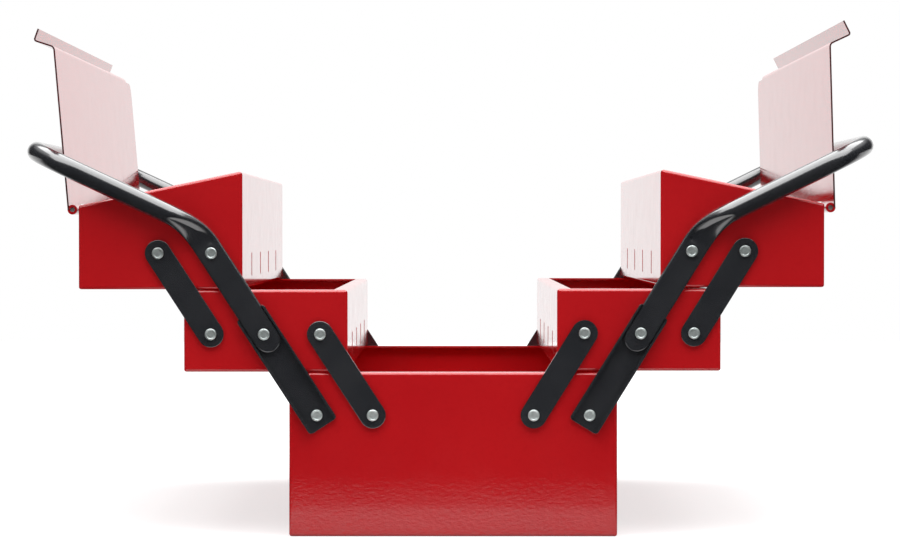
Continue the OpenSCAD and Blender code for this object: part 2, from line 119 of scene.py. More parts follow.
def addNode(tree, kind, sockets=None, **settings):
    made = tree.nodes.new(kind)
    for key, value in settings.items():
        setattr(made, key, value)
    for key, value in (sockets or {}).items():
        if isinstance(value, bpy.types.NodeSocket):
            tree.links.new(value, made.inputs[key])
        else:
            made.inputs[key].default_value = value
    return made


def mathNode(tree, operation, *values):
    return addNode(tree, "ShaderNodeMath", dict(enumerate(values)), operation=operation).outputs[0]


def axisOf(tree, vector, axis):
    return addNode(tree, "ShaderNodeSeparateXYZ", {0: vector}).outputs[axis]


def noiseAt(tree, place, size, detail, rough=0.5):
    return addNode(tree, "ShaderNodeTexNoise", {
        "Vector": place, "Scale": 1 / size, "Detail": detail, "Roughness": rough}).outputs["Fac"]


def ramp(tree, value, source, target, kind="SMOOTHSTEP"):
    return addNode(tree, "ShaderNodeMapRange", {
        "Value": value, "From Min": source[0], "From Max": source[1],
        "To Min": target[0], "To Max": target[1]}, interpolation_type=kind).outputs["Result"]


def spread(tree, noise, target):
    return ramp(tree, noise, (0.3, 0.7), target, "LINEAR")  # where most of a noise's values lie


def mixColour(tree, factor, first, second):
    mix = addNode(tree, "ShaderNodeMix", data_type="RGBA")
    # the colour sockets go by number, because other kinds share their names
    for socket, value in ((mix.inputs[0], factor), (mix.inputs[6], first), (mix.inputs[7], second)):
        if isinstance(value, bpy.types.NodeSocket):
            tree.links.new(value, socket)
        else:
            socket.default_value = (*value, 1.0)
    return mix.outputs[2]


def bumpFrom(tree, height, depth, before=None):
    sockets = {"Height": height, "Distance": depth, "Strength": 1.0}
    if before is not None:
        sockets["Normal"] = before
    return addNode(tree, "ShaderNodeBump", sockets).outputs["Normal"]


def newFinish(name):
    finish = bpy.data.materials.new(name)
    finish.use_nodes = True
    tree = finish.node_tree
    tree.nodes.clear()
    return finish, tree, addNode(tree, "ShaderNodeTexCoord").outputs["Object"]


def closeFinish(tree, sockets):
    shader = addNode(tree, "ShaderNodeBsdfPrincipled", sockets)
    addNode(tree, "ShaderNodeOutputMaterial", {"Surface": shader.outputs["BSDF"]})


enamel = {
    "colour": (0.50, 0.0085, 0.0125),
    # painted shade: the orange peel's hollows are darker
    "hollowShadeColour": (0.43, 0.0065, 0.0100),
    "hollowShadeShare": (0.2, 0.0),    # of the painted shade colour, from the orange peel's hollows up
    "hollowShadeHeights": (0.25, 0.5),
    "thickColour": (0.56, 0.0120, 0.0150),
    "thickShare": (0, 0.6),
    "thickPatches": {"size": 70 * mm, "detail": 3},
    "cutColour": (0.085, 0.022, 0.024),  # a darker colour on the lids' cut edges
    "cutReach": 0.12 * mm,      # how far it goes from the lids' ends
    "peel": {"size": 2.3 * mm, "detail": 2, "rough": 0.45},  # orange peel of the stoved coat
    "peelDepth": 0.055 * mm,
    "creases": {"size": 1.5 * mm, "detail": 3, "rough": 0.6},  # where the coat ran down as it set
    "creaseStretch": (0.45, 0.45, 1.0),  # below 1 they are longer that way
    "creaseDepth": 0.32 * mm,
    "creaseHeight": 58 * mm,    # they fade out up to here
    "pits": {"size": 0.75 * mm, "detail": 1},
    "pitDepth": 0.008 * mm,
    "waves": {"size": 38 * mm, "detail": 1},  # the sheet's own unevenness
    "waveDepth": 0.03 * mm,
    "dullPatches": {"size": 16 * mm, "detail": 3},
    "roughness": (0.09, 0.14),
    "ior": 1.5,
    "coat": 0.5,
    "coatRoughness": 0.08,
}


def cutEdges(tree, place):
    # 1 on the faces where the lids' sheet ends, at the front and at the back
    lidLow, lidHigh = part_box("left_lid")
    onLid = mathNode(tree, "GREATER_THAN", axisOf(tree, place, "Z"), lidLow.z)
    along = mathNode(tree, "ABSOLUTE", axisOf(tree, place, "Y"))
    cut = mathNode(tree, "COMPARE", along, lidHigh.y, enamel["cutReach"])
    return mathNode(tree, "MULTIPLY", onLid, cut)


def makeEnamel():
    finish, tree, place = newFinish("redEnamel")
    peel = noiseAt(tree, place, **enamel["peel"])
    stretched = addNode(tree, "ShaderNodeVectorMath", {0: place, 1: enamel["creaseStretch"]},
                        operation="MULTIPLY").outputs[0]
    depth = ramp(tree, axisOf(tree, place, "Z"), (0, enamel["creaseHeight"]), (enamel["creaseDepth"], 0))
    creases = mathNode(tree, "MULTIPLY", noiseAt(tree, stretched, **enamel["creases"]), depth)
    thick = spread(tree, noiseAt(tree, place, **enamel["thickPatches"]), enamel["thickShare"])
    # painted shade, darker in the orange peel's hollows
    shadeInHollows = ramp(tree, peel, enamel["hollowShadeHeights"], enamel["hollowShadeShare"], "LINEAR")
    colour = mixColour(tree, thick, enamel["colour"], enamel["thickColour"])
    colour = mixColour(tree, shadeInHollows, colour, enamel["hollowShadeColour"])
    colour = mixColour(tree, cutEdges(tree, place), colour, enamel["cutColour"])
    normal = bumpFrom(tree, noiseAt(tree, place, **enamel["waves"]), enamel["waveDepth"])
    normal = bumpFrom(tree, peel, enamel["peelDepth"], normal)
    normal = bumpFrom(tree, creases, 1.0, normal)  # their depth is in them already
    normal = bumpFrom(tree, noiseAt(tree, place, **enamel["pits"]), enamel["pitDepth"], normal)
    closeFinish(tree, {
        "Base Color": colour,
        "Roughness": spread(tree, noiseAt(tree, place, **enamel["dullPatches"]), enamel["roughness"]),
        "IOR": enamel["ior"],
        "Coat Weight": enamel["coat"],
        "Coat Roughness": enamel["coatRoughness"],
        "Normal": normal,
    })
    return finish


lacquer = {
    "colour": (0.0200, 0.0215, 0.0255),
    "wornColour": (0.0330, 0.0345, 0.0380),
    "wornShare": (0, 0.7),
    "wornPatches": {"size": 22 * mm, "detail": 3},
    "grain": {"size": 1.1 * mm, "detail": 2},
    "grainDepth": 0.010 * mm,
    "waves": {"size": 26 * mm, "detail": 1},  # what drawing and bending leave
    "waveDepth": 0.03 * mm,
    "dullPatches": {"size": 9 * mm, "detail": 3},
    "roughness": (0.20, 0.26),
    "ior": 1.65,
    "coat": 1.0,
    "coatRoughness": 0.14,
    "coatIor": 1.7,
}


def makeLacquer():
    finish, tree, place = newFinish("blackLacquer")
    worn = spread(tree, noiseAt(tree, place, **lacquer["wornPatches"]), lacquer["wornShare"])
    normal = bumpFrom(tree, noiseAt(tree, place, **lacquer["waves"]), lacquer["waveDepth"])
    normal = bumpFrom(tree, noiseAt(tree, place, **lacquer["grain"]), lacquer["grainDepth"], normal)
    closeFinish(tree, {
        "Base Color": mixColour(tree, worn, lacquer["colour"], lacquer["wornColour"]),
        "Roughness": spread(tree, noiseAt(tree, place, **lacquer["dullPatches"]), lacquer["roughness"]),
        "IOR": lacquer["ior"],
        "Coat IOR": lacquer["coatIor"],
        "Coat Weight": lacquer["coat"],
        "Coat Roughness": lacquer["coatRoughness"],
        "Normal": normal,
    })
    return finish


zinc = {
    "metallic": 0.8,
    "colour": (0.74, 0.80, 0.79),
    "dullColour": (0.52, 0.58, 0.56),
    "dullPatches": {"size": 2.6 * mm, "detail": 2},  # they are rougher too
    "roughness": (0.36, 0.50),
    "grain": {"size": 0.5 * mm, "detail": 2},
    "grainDepth": 0.010 * mm,
}


def makeZinc():
    finish, tree, place = newFinish("brightZinc")
    dull = noiseAt(tree, place, **zinc["dullPatches"])
    closeFinish(tree, {
        "Base Color": mixColour(tree, spread(tree, dull, (0, 1)), zinc["colour"], zinc["dullColour"]),
        "Metallic": zinc["metallic"],
        "Roughness": spread(tree, dull, zinc["roughness"]),
        "Normal": bumpFrom(tree, noiseAt(tree, place, **zinc["grain"]), zinc["grainDepth"]),
    })
    return finish


finishes = {"red_paint": makeEnamel(), "black_paint": makeLacquer(), "bright_zinc": makeZinc()}
for nodeObject in frame["nodes"].values():
    for materialSlot in nodeObject.material_slots:
        materialSlot.material = finishes[materialSlot.material.name.split(".")[0]]
print("finishes made")


# each handle is one tube, pressed flat at both ends, where it is riveted on
handle = {
    "tube": 12 * mm,
    "flatWidth": 16.4 * mm,
    "flatThick": 2.6 * mm,
    "flatTail": 11.7 * mm,      # beyond the middle pivot
    "flatLead": 4.4 * mm,       # beyond the top pivot
    "standOff": 1.8 * mm,       # the flat's back, out from the trays' ends
    "reach": 92 * mm,           # from the elbow to the grip's middle line
    "lean": 0.9,                # degrees, when the box is closed
    "gripBend": 30 * mm,
    "gripGap": 0.6 * mm,        # between the closed grips
    "topPivotIn": 19 * mm,      # from the box's middle, when it is closed
    "press": 1.75 * mm,         # how deep the elbow's front is pressed in
    "pressLead": 0.7,           # below 1, the deepest place is nearer the flat
    "pressRise": 0.9,           # how it deepens towards the crease, 1 for evenly
    "pressLeast": 0.35,         # the share of the front's height that stays
    "creaseStart": -0.54,       # the deepest line, in half widths, at the top pivot
    "creaseEnd": 0.33,          # and where the tube is round again
    "creaseSlope": 0.42,        # of the wall beyond it
    "tailStops": (0.004, 0.03, 0.1, 0.22, 0.4, 0.65, 1.0, 1.5, 2.1, 2.9, 3.8, 4.9, 6.2, 8.2),  # mm
    "ring": 72,                 # points round the tube, an even number
    "flatSteps": 9,
    "elbowSteps": 44,
    "straightSteps": 6,
    "bendSteps": 20,
    "gripSteps": 12,
}
tubeRadius, halfFlat, halfWide = handle["tube"] / 2, handle["flatThick"] / 2, handle["flatWidth"] / 2
outwards = Vector((0, -1, 0))  # at the front end, where the rings begin


def along(turn):
    return Vector((math.cos(turn), 0, math.sin(turn)))


def across(turn):
    return Vector((-math.sin(turn), 0, math.cos(turn)))


def ringAt(centre, sideways, outward, shape):
    return [centre + sideways * x + outward * y for x, y in shape]


def ringShape(halfWidth, halfThick):
    # points at even distances round a bar with rounded edges, from the middle of one edge
    halfThick = min(halfThick, halfWidth)
    straight = halfWidth - halfThick
    quarter = math.pi * halfThick / 2
    shape = []
    for i in range(handle["ring"] // 2):
        at = 4 * (quarter + straight) * i / handle["ring"]
        if at < quarter:
            a = at / halfThick
            shape.append((straight + halfThick * math.cos(a), halfThick * math.sin(a)))
        elif at < quarter + 2 * straight:
            shape.append((straight - (at - quarter), halfThick))
        else:
            a = math.pi / 2 + (at - quarter - 2 * straight) / halfThick
            shape.append((-straight + halfThick * math.cos(a), halfThick * math.sin(a)))
    return shape + [(-x, -y) for x, y in shape]


def flatRings(tip, turn, length):
    # the flat, with its rounded tail
    rings = []
    stops = [stop * mm for stop in handle["tailStops"]]
    tailEnd = stops[-1]
    for part in range(1, handle["flatSteps"]):
        stops.append(tailEnd + (length - tailEnd) * part / handle["flatSteps"])
    for stop in stops:
        half = math.sqrt(max(halfWide ** 2 - (halfWide - min(stop, halfWide)) ** 2, 0))
        rings.append(ringAt(tip + stop * along(turn) + outwards * halfFlat, across(turn), outwards,
                            ringShape(half, halfFlat)))
    return rings


def elbowShape(t):
    # from the flat, t = 0, to the round tube, t = 1, with the hollow that the press leaves
    eased = t * t * (3 - 2 * t)
    halfAcross = halfWide * (1 - eased) + tubeRadius * eased
    depth = handle["press"] * max(math.sin(math.pi * t ** handle["pressLead"]), 0)
    crease = halfAcross * (handle["creaseStart"] * (1 - t) + handle["creaseEnd"] * t)
    shape = []
    for flat, full in zip(ringShape(halfWide, halfFlat), ringShape(tubeRadius, tubeRadius)):
        x = flat[0] * (1 - eased) + full[0] * eased
        y = flat[1] * (1 - eased) + full[1] * eased
        if y > 0:
            # deeper from the bend's inner edge to the crease, and shallower beyond it
            near = max(0, min(1, (halfAcross - x) / (halfAcross - crease)))
            past = max(0, crease - x) * handle["creaseSlope"]
            hollow = max(0, depth * near ** handle["pressRise"] - past)
            y = max(y - hollow, handle["pressLeast"] * y)
        shape.append((x, y))
    return shape, halfFlat + (tubeRadius - halfFlat) * eased


def elbowRings(centre, radius, turn, bend):
    rings = []
    for step in range(handle["elbowSteps"] + 1):
        t = step / handle["elbowSteps"]
        shape, halfOut = elbowShape(t)
        sideways = across(turn + bend * t)
        rings.append(ringAt(centre - radius * sideways + outwards * halfOut, sideways, outwards, shape))
    return rings


def gripRings(start, turn):
    # the straight, the bend and the grip up to its middle
    rings = []
    shape = ringShape(tubeRadius, tubeRadius)
    ahead, sideways, inwards = along(turn), across(turn), -outwards
    straight, bend = handle["reach"] - handle["gripBend"], handle["gripBend"]
    for part in range(1, handle["straightSteps"] + 1):
        place = start + ahead * straight * part / handle["straightSteps"]
        rings.append(ringAt(place, sideways, outwards, shape))
    bendStart = start + ahead * straight
    for step in range(1, handle["bendSteps"] + 1):
        a = math.pi / 2 * step / handle["bendSteps"]
        place = bendStart + bend * (ahead * math.sin(a) + inwards * (1 - math.cos(a)))
        rings.append(ringAt(place, sideways, outwards * math.cos(a) + ahead * math.sin(a), shape))
    gripStart = bendStart + bend * (ahead + inwards)
    for part in range(1, handle["gripSteps"] + 1):
        place = gripStart + Vector((0, -gripStart.y * part / handle["gripSteps"], 0))
        rings.append(ringAt(place, sideways, ahead, shape))
    return rings


def handleRings(side):
    def flipped(p):
        return Vector((sideSigns[side] * p.x, p.y, p.z))

    mid, top = flipped(joints[side + "_middle_tray_pivot"]), flipped(joints[side + "_top_tray_pivot"])
    armTurn = math.atan2(top.z - mid.z, top.x - mid.x)
    closedTurn = armTurn - upperLimits[side + "_handle_swing"]
    lean = math.radians(handle["lean"])
    elbowBend = math.pi / 2 - lean - closedTurn
    # the elbow is as wide as brings the closed grips beside each other
    gripIn = -tubeRadius - handle["gripGap"] / 2
    elbowRadius = (gripIn + handle["topPivotIn"] - handle["flatLead"] * math.cos(closedTurn)
                   - handle["reach"] * math.sin(lean)) / (math.cos(lean) - math.sin(closedTurn))
    back = Vector((0, -endFace - handle["standOff"], 0))
    tip = Vector((mid.x, 0, mid.z)) - handle["flatTail"] * along(armTurn) + back
    flatLength = handle["flatTail"] + (top - mid).length + handle["flatLead"]
    centre = tip + flatLength * along(armTurn) + elbowRadius * across(armTurn)
    endTurn = armTurn + elbowBend
    elbowEnd = centre - elbowRadius * across(endTurn) + outwards * tubeRadius
    rings = flatRings(tip, armTurn, flatLength)
    rings += elbowRings(centre, elbowRadius, armTurn, elbowBend)
    rings += gripRings(elbowEnd, endTurn)
    # the rear half mirrors the front one
    rings += [[Vector((p.x, -p.y, p.z)) for p in ring] for ring in reversed(rings[:-1])]
    return [[flipped(p) for p in ring] for ring in rings]


def makeHandle(side):
    rings = handleRings(side)
    points = [p for ring in rings for p in ring]
    faces = ringFaces(len(rings), handle["ring"])
    faces.append(tuple(range(handle["ring"])))
    faces.append(tuple(range(len(points) - handle["ring"], len(points))))
    mesh = meshFrom(side + "Tube", points, faces)
    addPiece(side + "TubeHandle", mesh, side + "_handle", "black_paint", side + "_handle")


for side in sideSigns:
    makeHandle(side)
print("tube handles made")


# arms, links and lids keep the frame's shapes, with their edges broken
edges = {
    "channelBreak": 0.45 * mm,
    "linkBreak": 0.40 * mm,
    "lidBreak": 0.28 * mm,
    "segments": 3,
    "weld": 0.002 * mm,         # points within this become one
    "flatAngle": 1,             # degrees, up to which faces are joined to one
    "softAngle": 30,
    "breakAngle": 40,           # from which an edge is broken
}
armKinds = (  # the node's kind, its body and how much its edges are broken
    ("channel_arm", "handle", "channelBreak"),
    ("lower_link", "lower_links", "linkBreak"),
    ("upper_link", "upper_links", "linkBreak"),
)


def brokenEdges(node, name, width):
    source = frame["nodes"][node].data
    work = bmesh.new()
    for vertex in source.vertices:
        work.verts.new(vertex.co)
    work.verts.ensure_lookup_table()
    for polygon in source.polygons:
        try:
            work.faces.new([work.verts[i] for i in polygon.vertices])
        except ValueError:
            pass  # a triangle that is there already
    bmesh.ops.remove_doubles(work, verts=work.verts, dist=edges["weld"])
    bmesh.ops.dissolve_limit(work, angle_limit=math.radians(edges["flatAngle"]),
                             verts=work.verts, edges=work.edges)
    mesh = bpy.data.meshes.new(name)
    work.to_mesh(mesh)
    work.free()
    softEdges(mesh, edges["softAngle"])
    maker = addObject(name, mesh)
    bevel = maker.modifiers.new("broken edges", "BEVEL")
    bevel.width = width
    bevel.segments = edges["segments"]
    bevel.limit_method = "ANGLE"
    bevel.angle_limit = math.radians(edges["breakAngle"])
    bevel.harden_normals = True
    return appliedMesh(maker, name)


def makeArm(side, end, kind, body, width):
    node = f"{side}_{end}_{kind}"
    name = side + "".join(word.capitalize() for word in (end + "_" + kind).split("_"))
    addPiece(name, brokenEdges(node, name, edges[width]), f"{side}_{body}", "black_paint", node)


for side in sideSigns:
    for end in ("front", "rear"):
        for armKind in armKinds:
            makeArm(side, end, *armKind)
print("arms and links made")

for side in sideSigns:
    lid = brokenEdges(side + "_lid", side + "FoldedLid", edges["lidBreak"])
    addPiece(side + "FoldedLid", lid, side + "_lid", "red_paint", side + "_lid")
print("lids made")


def newTree(name, inputs):
    tree = bpy.data.node_groups.new(name, "GeometryNodeTree")
    tree.is_modifier = True
    for inputName, kind in inputs.items():
        tree.interface.new_socket(inputName, in_out="INPUT", socket_type="NodeSocket" + kind)
    tree.interface.new_socket("Geometry", in_out="OUTPUT", socket_type="NodeSocketGeometry")
    return tree, tree.nodes.new("NodeGroupInput").outputs


def closeTree(tree, geometry, finish):
    real = addNode(tree, "GeometryNodeRealizeInstances", {0: geometry})
    painted = addNode(tree, "GeometryNodeSetMaterial", {"Geometry": real.outputs[0], "Material": finish})
    addNode(tree, "NodeGroupOutput", {0: painted.outputs[0]})
    return tree


def socketOf(tree, name):
    return next(item.identifier for item in tree.interface.items_tree
                if item.item_type == "SOCKET" and item.in_out == "INPUT" and item.name == name)


def madeByTree(name, mesh, tree, inputs):
    maker = addObject(name + "Maker", mesh)
    modifier = maker.modifiers.new("maker", "NODES")
    modifier.node_group = tree
    for key, value in inputs.items():
        modifier[socketOf(tree, key)] = value
    done = appliedMesh(maker, name)
    for extra in ("turn", "outward", "grip"):
        if extra in done.attributes:
            done.attributes.remove(done.attributes[extra])
    return done


rivet = {
    "head": 7.1 * mm,
    "headHeight": 1.5 * mm,
    "headFoot": (0.1 * mm, 0.12 * mm),  # its lower edge is broken, in and up
    "rimDrop": 0.8 * mm,        # how far down its outer side is round
    "rimSteps": 12,
    "cup": 4.5 * mm,            # the hollow, across
    "cupDepth": 0.42 * mm,
    "cupFloor": 0.86,           # the share of its radius that is floor
    "cupRise": 0.03 * mm,       # how much higher the floor's middle is
    "shank": 4.9 * mm,
    "backHeight": 1.2 * mm,     # of the inner head
    "backRound": 0.9 * mm,
    "backSteps": 8,
    "backFoot": 0.05 * mm,      # its edge at the wall is broken
    "underArm": 2.0 * mm,       # underside of the head, out from the tray's end
    "underFlat": 4.6 * mm,
    "underLink": 2.5 * mm,
    "steps": 40,
    "softAngle": 40,
    "seeds": {"middle": 11, "top": 23, "bottom": 5},  # how the rivets are turned
}


def lathe(name, profile):
    # profile as (radius, height) from one pole to the other, about the Z axis
    turns = [2 * math.pi * i / rivet["steps"] for i in range(rivet["steps"])]
    points = [(radius * math.cos(a), radius * math.sin(a), height)
              for radius, height in profile for a in turns]
    mesh = meshFrom(name, points, ringFaces(len(profile), rivet["steps"]))
    softEdges(mesh, rivet["softAngle"])
    return bpy.data.objects.new(name, mesh)  # in no collection, so only the trees use it


def headProfile():
    radius, cupRadius, top = rivet["head"] / 2, rivet["cup"] / 2, rivet["headHeight"]
    floor = top - rivet["cupDepth"]
    profile = [(0, floor + rivet["cupRise"]), (cupRadius * 0.5, floor + rivet["cupRise"] / 2),
               (cupRadius * rivet["cupFloor"], floor)]
    for i in range(rivet["rimSteps"] + 1):
        a = math.pi * (1 - i / rivet["rimSteps"])
        drop = top - floor if a > math.pi / 2 else rivet["rimDrop"]
        profile.append(((radius + cupRadius) / 2 + (radius - cupRadius) / 2 * math.cos(a),
                        top - drop + drop * math.sin(a)))
    footIn, footUp = rivet["headFoot"]
    return profile + [(radius, footUp), (radius - footIn, 0), (0, 0)]


def backProfile():
    radius, height, bend = rivet["head"] / 2, rivet["backHeight"], rivet["backRound"]
    profile = [(0, 0), (radius - rivet["backFoot"], 0), (radius, -rivet["backFoot"])]
    for i in range(rivet["backSteps"] + 1):
        a = math.pi / 2 * i / rivet["backSteps"]
        profile.append((radius - bend + bend * math.cos(a), -height + bend - bend * math.sin(a)))
    return profile + [(0, -height)]


def rivetTree():
    tree, given = newTree("rivetsOnPivots", {
        "Geometry": "Geometry", "Head": "Object", "Shank": "Object", "Back Head": "Object",
        "Head Scale": "Float", "Finish": "Material"})

    def attribute(name, kind):
        return addNode(tree, "GeometryNodeInputNamedAttribute", {"Name": name},
                       data_type=kind).outputs["Attribute"]

    grip = attribute("grip", "FLOAT")
    spin = addNode(tree, "FunctionNodeEulerToRotation", {0: attribute("turn", "FLOAT_VECTOR")})
    # the inner heads lie a grip's length behind the outer ones
    behind = addNode(tree, "ShaderNodeVectorMath", {
        0: attribute("outward", "FLOAT_VECTOR"), "Scale": mathNode(tree, "MULTIPLY", grip, -1)},
        operation="SCALE")
    moved = addNode(tree, "GeometryNodeSetPosition", {
        "Geometry": given["Geometry"], "Offset": behind.outputs[0]})
    length = addNode(tree, "ShaderNodeCombineXYZ", {0: 1, 1: 1, 2: grip})
    size = addNode(tree, "ShaderNodeCombineXYZ", {0: given["Head Scale"], 1: given["Head Scale"], 2: 1})
    join = tree.nodes.new("GeometryNodeJoinGeometry")
    for name, points, scale in (("Head", given["Geometry"], size),
                                ("Shank", given["Geometry"], length),
                                ("Back Head", moved.outputs["Geometry"], size)):
        shape = addNode(tree, "GeometryNodeObjectInfo", {"Object": given[name]})
        put = addNode(tree, "GeometryNodeInstanceOnPoints", {
            "Points": points, "Instance": shape.outputs["Geometry"],
            "Rotation": spin.outputs[0], "Scale": scale.outputs[0]})
        tree.links.new(put.outputs["Instances"], join.inputs[0])
    return closeTree(tree, join.outputs[0], given["Finish"])


def pivotPoints(name, places, seed):
    # one point for each rivet, at both ends of the trays
    mesh = bpy.data.meshes.new(name)
    rng = random.Random(seed)
    spots, turns, outward, grips = [], [], [], []
    for place, under in places:
        for end in (-1, 1):
            spots.append((place.x, end * (endFace + under), place.z))
            turns += [-end * math.pi / 2, rng.uniform(0, 2 * math.pi), 0]
            outward += [0, end, 0]
            grips.append(under + sheet)
    mesh.from_pydata(spots, [], [])
    mesh.attributes.new("turn", "FLOAT_VECTOR", "POINT").data.foreach_set("vector", turns)
    mesh.attributes.new("outward", "FLOAT_VECTOR", "POINT").data.foreach_set("vector", outward)
    mesh.attributes.new("grip", "FLOAT", "POINT").data.foreach_set("value", grips)
    return mesh


rivets = rivetTree()
rivetInputs = {
    "Head": lathe("rivetHead", headProfile()),
    "Shank": lathe("rivetShank", [(0, 0), (rivet["shank"] / 2, 0), (rivet["shank"] / 2, -1), (0, -1)]),
    "Back Head": lathe("rivetBack", backProfile()),
    "Head Scale": 1.0,
    "Finish": finishes["bright_zinc"],
}


def makeRivets(name, body, node, places, seed):
    mesh = madeByTree(name, pivotPoints(name + "Points", places, seed), rivets, rivetInputs)
    addPiece(name, mesh, body, "bright_zinc", node)


bottomPlaces = []
for side in sideSigns:
    low, lowerLow = joints[side + "_handle_swing"], joints[side + "_lower_link_swing"]
    mid, top = joints[side + "_middle_tray_pivot"], joints[side + "_top_tray_pivot"]
    upperLow = joints[side + "_upper_link_swing"]
    lowerTop = mid + lowerLow - low
    upperTop = top + upperLow - mid
    bottomPlaces += [(low, rivet["underArm"]), (lowerLow, rivet["underLink"])]
    makeRivets(side + "MiddleTrayRivets", side + "_middle_tray", side + "_middle_rivets",
               [(mid, rivet["underFlat"]), (lowerTop, rivet["underLink"]),
                (upperLow, rivet["underLink"])], rivet["seeds"]["middle"])
    makeRivets(side + "TopTrayRivets", side + "_top_tray", side + "_top_rivets",
               [(top, rivet["underFlat"]), (upperTop, rivet["underLink"])], rivet["seeds"]["top"])
makeRivets("bottomTrayRivets", "bottom", "bottom_rivets", bottomPlaces, rivet["seeds"]["bottom"])
print("rivets made")


divider = {
    "count": 4,
    "thick": 0.8 * mm,
    "gap": 0.3 * mm,            # round each divider
    "tabOut": 0.2 * mm,         # ends of the tabs, out from the tray's sides
    "height": {"middle": 36 * mm, "top": 38 * mm},
    "slitLow": 7 * mm,
    "slitHeight": 15 * mm,
    "cornerTop": 4 * mm,
    "cornerFoot": 1.8 * mm,
    "topSteps": 8,
    "footSteps": 5,
    "edgeBreak": 0.18 * mm,
    "edgeAngle": 60,            # degrees, from which an edge is broken
    "softAngle": 35,
}


def dividerOutline(width, height):
    # in X and Z, with a tab through the slit at each end
    inset = sheet + divider["gap"]
    foot, crown = divider["cornerFoot"], divider["cornerTop"]
    footSteps, topSteps = divider["footSteps"], divider["topSteps"]
    tabLow = divider["slitLow"] + divider["gap"]
    tabHigh = divider["slitLow"] + divider["slitHeight"] - divider["gap"]
    top, out = sheet + height, divider["tabOut"]
    outline = arcPoints((inset + foot, inset + foot), foot, 180, 270, footSteps)
    outline += arcPoints((width - inset - foot, inset + foot), foot, 270, 360, footSteps)
    outline += [(width - inset, tabLow), (width + out, tabLow), (width + out, tabHigh),
                (width - inset, tabHigh)]
    outline += arcPoints((width - inset - crown, top - crown), crown, 0, 90, topSteps)
    outline += arcPoints((inset + crown, top - crown), crown, 90, 180, topSteps)
    return outline + [(inset, tabHigh), (-out, tabHigh), (-out, tabLow), (inset, tabLow)]


def dividerSheet(name, width, height):
    half = divider["thick"] / 2
    work = bmesh.new()
    face = work.faces.new([work.verts.new((x, -half, z)) for x, z in dividerOutline(width, height)])
    grown = bmesh.ops.extrude_face_region(work, geom=[face])
    bmesh.ops.translate(work, vec=(0, divider["thick"], 0),
                        verts=[v for v in grown["geom"] if isinstance(v, bmesh.types.BMVert)])
    bmesh.ops.recalc_face_normals(work, faces=work.faces)
    # the edges round its two faces
    rims = []
    for edge in work.edges:
        first, second = (vertex.co.y for vertex in edge.verts)
        if abs(abs(first) - half) < samePlace and abs(first - second) < samePlace:
            if edge.calc_face_angle(0) > math.radians(divider["edgeAngle"]):
                rims.append(edge)
    bmesh.ops.bevel(work, geom=rims, offset=divider["edgeBreak"], segments=2, profile=0.5,
                    affect="EDGES")
    mesh = bpy.data.meshes.new(name)
    work.to_mesh(mesh)
    work.free()
    softEdges(mesh, divider["softAngle"])
    return mesh


def rowTree():
    tree, given = newTree("rowAlongTheTray", {
        "Geometry": "Geometry", "Count": "Int", "Start": "Vector", "Step": "Vector",
        "Finish": "Material"})
    line = addNode(tree, "GeometryNodeMeshLine", {
        "Count": given["Count"], "Start Location": given["Start"], "Offset": given["Step"]},
        mode="OFFSET")
    put = addNode(tree, "GeometryNodeInstanceOnPoints", {
        "Points": line.outputs[0], "Instance": given["Geometry"]})
    return closeTree(tree, put.outputs[0], given["Finish"])


def makeDividers(side, level, tree):
    low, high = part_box(f"{side}_{level}_dividers")
    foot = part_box(f"{side}_{level}_tray")[0].z
    name = side + level.capitalize() + "Dividers"
    step = 2 * endFace / (divider["count"] + 1)
    one = dividerSheet(name + "Sheet", high.x - low.x, divider["height"][level])
    mesh = madeByTree(name, one, tree, {
        "Count": divider["count"], "Start": (low.x, -endFace + step, foot), "Step": (0, step, 0),
        "Finish": finishes["red_paint"]})
    addPiece(name, mesh, f"{side}_{level}_tray", "red_paint", f"{side}_{level}_dividers")


row = rowTree()
for side in sideSigns:
    for level in ("middle", "top"):
        makeDividers(side, level, row)
print("dividers made")


studio = {
    "floor": (0.50, 0.50, 0.50),
    "floorHalf": 3,
    "floorDrop": 0.2 * mm,      # below the box, so that the two don't share a plane
    "floorFront": -0.62,        # the dim room in front of the box starts here
    "floorGlow": 0.68,          # near the box, where its shadow lies
    "farGlow": 1.0,             # away from it
    "glowReach": (0.22, 0.60),  # from the box's middle, where one gives way to the other
    "mirrorGlow": (-0.16, 0.12),  # reflections show the glow from here backwards
    "floorSheen": 0.80,         # brightness in reflections of the floor right in front of the box
    "sheenDeep": (-0.43, -0.385),  # where it begins, from the front
    "sheenWide": (0.16, 0.24),  # and where it fades to the sides
    "skyLight": 0.34,
    "frontDark": 0.015,         # the dim room, as reflections meet it
    "backdrop": (0.74, 0.96),   # how far back a direction points where the backdrop begins
    "ceiling": (0.45, 0.80),    # and how far up
    "key": {"place": (0.0, -0.95, 1.35), "size": (2.7, 0.85), "power": 21.0, "target": (0, 0, 0.12)},
    "overhead": {"place": (0.0, 0.15, 1.60), "size": (2.2, 1.6), "power": 40.0, "target": (0, 0, 0.1)},
}


def seenRays(tree):
    # 1 for what the camera sees, straight, in gloss or through glass
    rays = tree.nodes.new("ShaderNodeLightPath").outputs
    most = mathNode(tree, "MAXIMUM", rays["Is Camera Ray"], rays["Is Glossy Ray"])
    return mathNode(tree, "MAXIMUM", most, rays["Is Transmission Ray"]), rays


